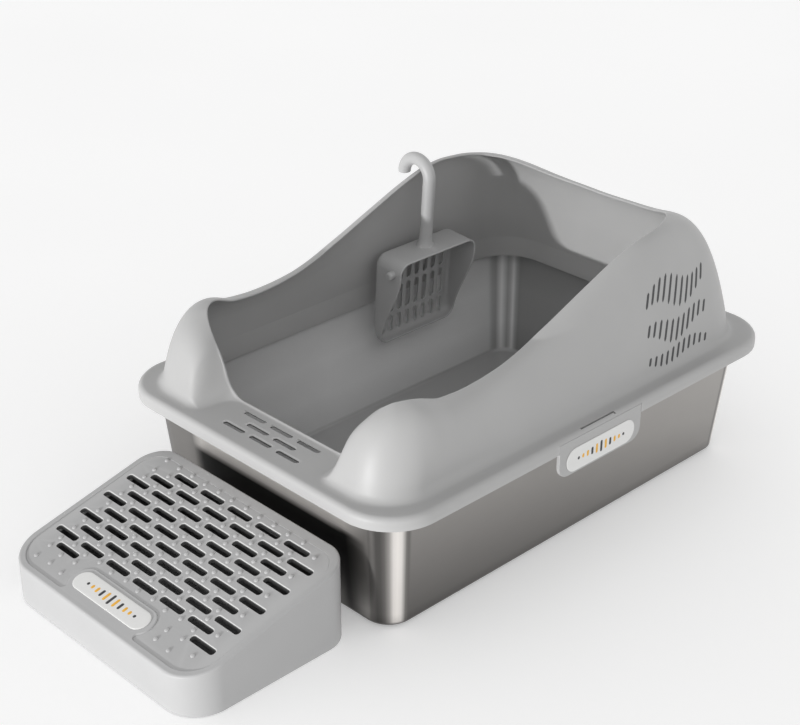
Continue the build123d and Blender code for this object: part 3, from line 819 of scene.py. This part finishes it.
def two_radius(hw, y0, y1, rf, rb, n=18):
    """Rounded plan with its own front and back corner radii, counter-clockwise."""
    pts = []
    for cx, cy, r, a0 in ((hw - rf, y0 + rf, rf, -90), (hw - rb, y1 - rb, rb, 0), (-hw + rb, y1 - rb, rb, 90), (-hw + rf, y0 + rf, rf, 180)):
        for k in range(n + 1):
            a = math.radians(a0 + 90 * k / n)
            pts.append((cx + r * math.cos(a), cy + r * math.sin(a)))
    return pts


def step_ring(inset, z=None, drop=None):
    pts = two_radius(STEP_HW - inset, STEP_Y0 + inset, STEP_Y1 - inset, STEP_R - inset, STEP_R_BACK - inset)
    return [P(x, y, z if z is not None else slope_z(y, drop)) for x, y in pts]


def on_slope(x, y, drop):
    """Plan position, that far below the step's sloped top."""
    return P(x, y, slope_z(y, drop))


BOSS_Y, BOSS_X, BOSS_R, BOSS_MID, SEAT_BACK = -470.5, 46.0, 17.0, -2.2, 11.4


def arc(cx, cy, r, a0, a1, n):
    return [(cx + r * math.cos(math.radians(a0 + (a1 - a0) * k / n)), cy + r * math.sin(math.radians(a0 + (a1 - a0) * k / n)))
            for k in range(n + 1)]


def seat_outline(g):
    """Seat of the grate, going round the label boss; g moves the outline outward."""
    hw, y0, y1, r = STEP_HW - 8 + g, STEP_Y0 + 8 - g, STEP_Y1 - SEAT_BACK + g, 32 + g
    tip = 4.0
    fy = STEP_Y0 + 8 + tip
    fx = BOSS_X + math.sqrt((BOSS_R + tip) ** 2 - (fy - BOSS_Y) ** 2)
    a = math.degrees(math.atan2(fy - BOSS_Y, fx - BOSS_X))
    half = [(0.0, BOSS_Y + BOSS_R - g)]
    half += arc(BOSS_X, BOSS_Y, BOSS_R - g, 90, a, 18)
    half += arc(fx, fy, tip + g, a + 180, 270, 10)[1:]
    left = [(BOSS_MID - x, y) for x, y in half[:0:-1]]
    half = [(BOSS_MID + x, y) for x, y in half]
    rb = STEP_R_BACK - 8 + g
    right = arc(hw - r, y0 + r, r, -90, 0, 14) + arc(hw - rb, y1 - rb, rb, 0, 90, 12)
    return half + right + [(-x, y) for x, y in right[::-1]] + left


loops = [step_ring(2.4, 0.8), step_ring(0.8, 1.0), step_ring(0.2, 1.7), step_ring(0, 2.6), step_ring(0, 12.0), step_ring(0, 24.0)]
FR = 2.4
for d in (12.0, 7.0):
    loops.append(step_ring(0, drop=d))
for k in range(9):
    a = math.pi / 2 * k / 8
    loops.append(step_ring(FR - FR * math.cos(a), drop=FR - FR * math.sin(a)))
loops.append(step_ring(3.4, drop=0.0))
v, f = bridge(loops)
n = len(loops[0])
f.append(tuple(range(n)))
f.append(tuple(range(len(v) - n, len(v))))
step = new_object("step_housing", v, f, 45)
# hollow inside, throat under the seat
loops = [step_ring(6.0, 3.8), step_ring(4.2, 5.0), step_ring(3.0, 11.0), step_ring(3.0, drop=9.0)]
throat = []
for x, y in two_radius(STEP_HW - 14, STEP_Y0 + 14, STEP_Y1 - 17.4, 26, 18):
    throat.append((x, y))
loops += [[on_slope(x, y, 9.0) for x, y in throat], [on_slope(x, y, 5.4) for x, y in throat]]
v, f = bridge(loops)
f.append(tuple(range(n)))
f.append(tuple(range(len(v) - n, len(v))))
cut(step, new_object("cutter", v, f))
# seat with a rounded upper edge at the front and round the boss, nearly sharp along the sides and back
def eased(g):
    return [(x0 + (x1 - x0) * w, y0 + (y1 - y0) * w) for (x0, y0), (x1, y1), w in
            ((p, q, 0.12 + 0.88 * (1 - sstep(-452, -425, p[1]))) for p, q in zip(seat_outline(0), seat_outline(g)))]


mouth = [(seat_outline(0), 6.0), (seat_outline(0), 1.5)]
for k in range(1, 7):
    a = math.radians(80 * k / 6)
    mouth.append((eased(1.5 - 1.5 * math.cos(a)), 1.5 - 1.5 * math.sin(a)))
mouth.append((eased(1.5 - 1.5 * math.cos(math.radians(80)) + 0.06), -1.5))
cut_levels(step, [mouth], on_slope)
settle(step)
dress(step, M_STEP)
step.data.materials.append(M_HOLLOW_SHADE)
# inner faces of the hollow housing get the painted shade
for q in step.data.polygons:
    x, y, z = q.center.x / MM, q.center.y / MM - YS, q.center.z / MM
    if z > 3 and slope_z(y) - z > 8.8 and outside((x, y), (STEP_HW, STEP_Y0, STEP_Y1, STEP_R, STEP_R_BACK)) < -2.5:
        q.material_index = 1
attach(step, "step")
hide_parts("step_shell")

# ---------------------------------------------------------------------------
# grate: rows of long slots with grip domes above and below each of them
# ---------------------------------------------------------------------------
SLOT_L, SLOT_W, PITCH_X, PITCH_Y = 34.2, 7.3, 43.7, 15.0


def rect_round(L, W, r, n=5):
    return (arc(L / 2 - r, -W / 2 + r, r, -90, 0, n) + arc(L / 2 - r, W / 2 - r, r, 0, 90, n)
            + arc(-L / 2 + r, W / 2 - r, r, 90, 180, n) + arc(-L / 2 + r, -W / 2 + r, r, 180, 270, n))


def slot_at(r, k):
    return (0.25 if r % 2 == 0 else -0.25) * PITCH_X + (k - 2.5) * PITCH_X - 2.0, -453.6 + PITCH_Y * r


def on_grate(x, y, drop):
    """As on_slope, but from the grate's own top, which sinks a little towards the front border."""
    return on_slope(x, y, drop + (0.2 + 1.0 * (-307 - y) / 182) * (1 - drop / 5.7))


slab = [(seat_outline(-0.5), 5.7), (seat_outline(-0.06), 5.3), (seat_outline(-0.06), 0.25), (seat_outline(-0.12), 0.07), (seat_outline(-0.3), 0.0)]
grate = prisms("grate_plate", [slab], on_grate)
holes, taken = [], []
for r in range(10):
    for k in ((0, 5) if r == 0 else (range(1, 6) if r == 9 else range(6))):
        cx, cy = slot_at(r, k)
        taken.append((cx, cy))
        sh = lambda g: [(x + cx, y + cy) for x, y in rect_round(SLOT_L + 2 * g, SLOT_W + 2 * g, 2.9 + g)]
        holes.append([(sh(0), 8.0), (sh(0), 0.9), (sh(0.18), 0.45), (sh(0.45), 0.13), (sh(0.75), -0.02), (sh(0.8), -0.6)])
cut_levels(grate, holes, on_grate)
domes = []
for r in range(-2, 11):
    for k in range(6):
        cx, cy = slot_at(r, k)
        for e in (-1, 1):
            x, y = cx, cy + e * 8.5
            if r == 10:
                y = -310.8
            if abs(x) > 136 or y > -310 or y < -484 or (r == 10 and e > 0):
                continue
            if r % 2 == 0 and k == 5:
                continue
            if abs(x - BOSS_MID) < 67 and y < -448:
                continue
            if any(abs(x - a) < SLOT_L / 2 + 2.6 and abs(y - b) < SLOT_W / 2 + 2.6 for a, b in taken):
                continue
            domes.append((x, y))
    if r % 2 and r > -2:
        domes.append((121.0, slot_at(r, 0)[1] + 1.0))
groups = []
for x, y in domes:
    ring = lambda q: [(x + q * math.cos(math.tau * k / 16), y + q * math.sin(math.tau * k / 16)) for k in range(16)]
    groups.append([(ring(2.5), 0.8), (ring(2.5), -0.1), (ring(2.36), -0.58), (ring(2.03), -1.02), (ring(1.55), -1.36), (ring(0.95), -1.58), (ring(0.3), -1.67)])
unite(grate, prisms("domes", groups, on_grate))
settle(grate)
dress(grate, M_STEP)
grate.data.materials.append(M_EDGE_HIGHLIGHT)
grate.data.materials.append(M_SHADE)
up = Vector((0, -math.sin(TILT), math.cos(TILT)))
# grate slots: upward chamfers get the painted highlight, upright walls the painted shade, downward faces stay plain
for q in grate.data.polygons:
    x, y = q.center.x / MM, q.center.y / MM - YS
    d = q.normal.dot(up)
    if d < 0.95 and any(abs(x - a) < SLOT_L / 2 + 0.9 and abs(y - b) < SLOT_W / 2 + 0.9 for a, b in taken):
        q.material_index = 2 if abs(d) < 0.3 else (1 if d > 0 else 0)
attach(grate, "grate")
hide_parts("step_grate")

# ---------------------------------------------------------------------------
# badges: slightly domed white pills with a level-meter row of capsules let in
# ---------------------------------------------------------------------------
def clip_face(side):
    return lambda u, v, h: P(side * (212.5 + h), CLIP_Y + u, 124.5 + v)


def boss_face(u, v, h):
    return P(BOSS_MID + u, BOSS_Y + v * math.cos(TILT) - h * math.sin(TILT), slope_z(BOSS_Y) + v * math.sin(TILT) + h * math.cos(TILT))


def badge(name, node, body, L, W, T, put, flip=1):
    levels = [(0.12, 0.0), (0, 0.12), (0, 0.45), (0.1, 0.66), (0.32, 0.80), (0.8, 0.88), (2.2, 0.925), (5.0, 0.95), (8.0, 0.96)]
    plate = prisms(name, [[(pill(L - 2 * i, W - 2 * i, 16), T * h) for i, h in levels]], put, 60)
    dress(plate, M_WHITE)
    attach(plate, body)
    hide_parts(node)
    amber, ink = [], []
    heights = (3.6, 5.0, 6.8, 8.8, 11.0, 13.4, 11.0, 8.8, 6.8, 5.0, 3.6)
    for k, hgt in enumerate(heights):
        u = (k - 5) * L * 0.066
        o = [(u + y, x) for x, y in pill(hgt, 3.4, 8)][::-1]
        i = [(u + y, x) for x, y in pill(hgt - 0.16, 3.24, 8)][::-1]
        (ink if k in (0, 3, 5, 7, 10) else amber).append([(o, T * 0.3), (o, T * 0.968), (i, T * 0.99)])
    for tag, groups, mat in (("amber", amber, M_AMBER), ("dark", ink, M_INK)):
        o = prisms(name + "_" + tag, groups, put, 40)
        dress(o, mat)
        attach(o, body)
    return plate


badge("badge_plate_right", "clip_badge_right", "right_clip", 108.0, 27.0, 1.0, clip_face(1))
badge("badge_plate_left", "clip_badge_left", "left_clip", 108.0, 27.0, 1.0, clip_face(-1))
badge("badge_plate_step", "step_badge", "step", 114.0, 24.0, 0.9, boss_face)

# ---------------------------------------------------------------------------
# wall print: bands of slanted strokes that swell and fall, lying on the wall
# ---------------------------------------------------------------------------
tree = BVHTree.FromObject(guard, bpy.context.evaluated_depsgraph_get())


def on_wall(y, z, h):
    loc, nor, _, _ = tree.ray_cast(P(420, y, z), Vector((-1, 0, 0)))
    if nor.x < 0:
        nor = -nor
    return loc + nor * (h * MM)


verts, faces = [], []
for band, (zc, size, amp) in enumerate(((241, 33, 7), (201, 26, 6), (171, 17, 3))):
    for k in range(11):
        u = k / 10
        yc = 106 + 9.6 * k
        L = size * (0.42 + 0.58 * math.sin(math.pi * (0.08 + 0.84 * u)) ** 1.2)
        z = zc + amp * math.sin(math.tau * (u * 1.1 + band * 0.22))
        lean = 0.26
        w = 1.75
        base = len(verts)
        steps = 10
        for i in range(steps + 1):
            t = (i / steps - 0.5) * L
            taper = math.sqrt(max(0.0, 1 - (abs(2 * i / steps - 1)) ** 8)) * 0.85 + 0.15
            for side, h in ((-1, 0.12), (1, 0.12), (1, -0.5), (-1, -0.5)):
                verts.append(on_wall(yc + t * lean + side * w * taper, z + t, h))
        for i in range(steps):
            q = base + 4 * i
            for e in range(4):
                faces.append((q + e, q + (e + 1) % 4, q + 4 + (e + 1) % 4, q + 4 + e))
        faces.append((base, base + 1, base + 2, base + 3))
        q = base + 4 * steps
        faces.append((q, q + 1, q + 2, q + 3))
prnt = new_object("wall_print", verts, faces, 40)
dress(prnt, M_PRINT)
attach(prnt, "guard")

# ---------------------------------------------------------------------------
# scoop: slotted basket, ears and hooked round handle, in one moulding.
# Local frame: hook centre at the origin, handle down -Z, basket opens to +X.
# ---------------------------------------------------------------------------
SC_Y, SC_T, SC_R, HOOK_R = 98.0, 2.6, 7.5, 20.5
SC_X = -E_PLAN[0] - 7.5
SC_Z = edge_z(START_E[2] + SC_Y + SC_R - (E_PLAN[1] + E_PLAN[3])) - 10.1
SC_A = math.radians(4.0)
BK, FT, FLOOR = -82.0, -200.0, 0.5


def scoop_at(x, y, z):
    return P(SC_X + x * math.cos(SC_A) + z * math.sin(SC_A), SC_Y + y, SC_Z - x * math.sin(SC_A) + z * math.cos(SC_A))


def basket_rim(z):
    """Height of the side over the floor: full at the back, falling to a low front lip."""
    return 15.5 + 28.5 * (1 - sstep(-(BK - 20), -(FT + 4), -z) ** 0.9)


plan = []
for i, (y, z) in enumerate(round_rect(63.0, 59.0, 14.5, 14, 16)):
    c = (max(-63 + 14.5, min(63 - 14.5, y)), max(-59 + 14.5, min(59 - 14.5, z)))
    L = math.hypot(y - c[0], z - c[1])
    zz = z + (BK + FT) / 2
    plan.append((y, zz, (y - c[0]) / L, (z - c[1]) / L, 6.5 + 6.5 * sstep(-(FT + 30), -FT, -zz)))


def basket_loop(fn):
    """fn(point) gives inset and height over the outer floor."""
    out = []
    for y, z, ny, nz, fr in plan:
        d, h = fn(z, fr)
        out.append(scoop_at(FLOOR + h, y - ny * d, z - nz * d))
    return out


loops = []
for k in range(9):
    a = math.pi / 2 * k / 8
    loops.append(basket_loop(lambda z, fr: (fr - fr * math.sin(a), fr - fr * math.cos(a))))
for k in (0.35, 0.7):
    loops.append(basket_loop(lambda z, fr: (0, fr + (basket_rim(z) - 1.3 - fr) * k)))
for k in range(9):
    a = math.pi * k / 8
    loops.append(basket_loop(lambda z, fr: (1.3 - 1.3 * math.cos(a), basket_rim(z) - 1.3 + 1.3 * math.sin(a))))
for k in (0.7, 0.35):
    loops.append(basket_loop(lambda z, fr: (SC_T, fr + (basket_rim(z) - 1.3 - fr) * k)))
for k in range(8, -1, -1):
    a = math.pi / 2 * k / 8
    loops.append(basket_loop(lambda z, fr: (fr - (fr - SC_T) * math.sin(a), fr - (fr - SC_T) * math.cos(a))))
v, f = bridge(loops)
n = len(loops[0])
f.append(tuple(range(n)))
f.append(tuple(range(len(v) - n, len(v))))
scoop = new_object("scoop_body", v, f, 50)
groups = []
floor_put = lambda u, w, h: scoop_at(h, u, w)
for k in range(8):
    cy = (k - 3.5) * 13.6
    for zc, ln in ((BK - 29, 38), (BK - 70, 34), (BK - 101.5, 20)):
        sh = lambda g: [(cy + b, zc + a) for a, b in pill(ln + 2 * g, 7.4 + 2 * g, 8)]
        if zc > BK - 90:
            groups.append([(sh(0.6), -2.0), (sh(0.5), 0.45), (sh(0.12), 0.95), (sh(0), 1.4), (sh(0), 2.3), (sh(0.15), 2.75), (sh(0.55), 3.12), (sh(0.6), 6.0)])
        else:
            groups.append([(sh(0), -2.0), (sh(0), 14.0)])
cut_levels(scoop, groups, floor_put)
# handle
loops = []
for z in (-84.0, -82.0, -80.5, -78.5, -76, -73, -69, -62, -50, -38, -26, -14, -5):
    fl = 2.6 * math.exp(-(z + 82) / 4.5) if z > -82 else 2.6
    loops.append([scoop_at(HOOK_R + (SC_R + fl) * math.cos(math.tau * k / 32), (SC_R + fl * 1.5) * math.sin(math.tau * k / 32), z) for k in range(32)])
for i in range(40):
    a = math.radians(i * 190 / 39)
    u = max(0.0, (math.degrees(a) - 180) / 10)
    r = SC_R * (1 - u ** 3.2) ** (1 / 2.4) if u < 1 else 0.9
    r = max(r, 3.2) if u >= 1 else r
    cx, cz = HOOK_R * math.cos(a), HOOK_R * math.sin(a)
    loops.append([scoop_at(cx + math.cos(a) * r * math.cos(math.tau * k / 32), r * math.sin(math.tau * k / 32), cz + math.sin(a) * r * math.cos(math.tau * k / 32))
                  for k in range(32)])
v, f = bridge(loops)
f.append(tuple(range(32)))
f.append(tuple(range(len(v) - 32, len(v))))
unite(scoop, new_object("handle", v, f))
# ears
for e in (-1, 1):
    loops = []
    for d, r in ((-2.0, 5.0), (0.0, 5.0), (5.0, 5.0), (6.6, 4.8), (7.5, 4.2), (8.0, 3.3), (8.1, 2.0)):
        loops.append([scoop_at(FLOOR + 31 + r * math.cos(math.tau * k / 24), e * (63.0 - 0.4 + d), BK - 16 + r * math.sin(math.tau * k / 24)) for k in range(24)])
    v, f = bridge(loops)
    f.append(tuple(range(24)))
    f.append(tuple(range(len(v) - 24, len(v))))
    unite(scoop, new_object("ear", v, f))
settle(scoop, 42)
dress(scoop, M_SCOOP)
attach(scoop, "scoop_body")
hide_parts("scoop")


# ---------------------------------------------------------------------------
# camera, floor, light
# ---------------------------------------------------------------------------
cam_data = bpy.data.cameras.new("camera")
cam = bpy.data.objects.new("camera", cam_data)
bpy.context.scene.collection.objects.link(cam)
az, el = math.radians(45.918), math.radians(27.355)
back = Vector((math.sin(az) * math.cos(el), -math.cos(az) * math.cos(el), math.sin(el)))
right = Vector((math.cos(az), math.sin(az), 0))
up = back.cross(right)
rot = Matrix((right, up, back)).transposed()
cam.matrix_world = Matrix.Translation(P(1150.26, -1199.77, 1000)) @ rot.to_4x4()
cam_data.sensor_fit = "HORIZONTAL"
cam_data.sensor_width = 36.0
cam_data.lens = 1684.2 / 800 * 36.0
cam_data.clip_end = 60
bpy.context.scene.camera = cam

bpy.ops.mesh.primitive_grid_add(x_subdivisions=8, y_subdivisions=8, size=24, location=(0, 0, 0))
floor = bpy.context.object
floor.name = "floor"
m, nt, bs = nodes_of("floor_paper")
v = tex(nt, "ShaderNodeTexNoise", (1.5, 1.5, 1.5), Scale=1.0, Detail=2.0)
col = ramp(nt, v.outputs["Fac"], [(0.3, grey(0.82)), (0.7, grey(0.84))])
nt.links.new(col.outputs[0], bs.inputs["Base Color"])
bs.inputs["Roughness"].default_value = 0.7
bs.inputs["Specular IOR Level"].default_value = 0.15
bs.inputs["Emission Color"].default_value = (1, 1, 1, 1)
bs.inputs["Emission Strength"].default_value = 0.305
dress(floor, m)


def area(name, loc, target, size, power, color=(1, 1, 1)):
    d = bpy.data.lights.new(name, "AREA")
    d.shape = "RECTANGLE"
    d.size, d.size_y = size
    d.energy = power
    d.color = color
    o = bpy.data.objects.new(name, d)
    bpy.context.scene.collection.objects.link(o)
    o.location = loc
    o.rotation_euler = (Vector(target) - Vector(loc)).to_track_quat("-Z", "Y").to_euler()
    return o


area("key", P(-70, -5000, 27), P(-20, 0, 170), (0.15, 0.04), 165)

world = bpy.data.worlds.new("studio")
bpy.context.scene.world = world
world.use_nodes = True
wn = world.node_tree
bg = wn.nodes["Background"]
sky = wn.nodes.new("ShaderNodeTexCoord")
axis = wn.nodes.new("ShaderNodeSeparateXYZ")
wn.links.new(sky.outputs["Generated"], axis.inputs[0])
fade = ramp(wn, axis.outputs["Z"], [(0.0, grey(1.0)), (1.0, grey(0.56))])
wn.links.new(fade.outputs[0], bg.inputs["Color"])
bg.inputs["Strength"].default_value = 1.06
bpy.context.scene.view_settings.view_transform = "Standard"

for name, mat in (("pan_foot_pads", M_RUBBER), ("step_foot_pads", M_RUBBER), ("clip_right", M_GUARD), ("clip_left", M_GUARD)):
    dress(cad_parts[name], mat)
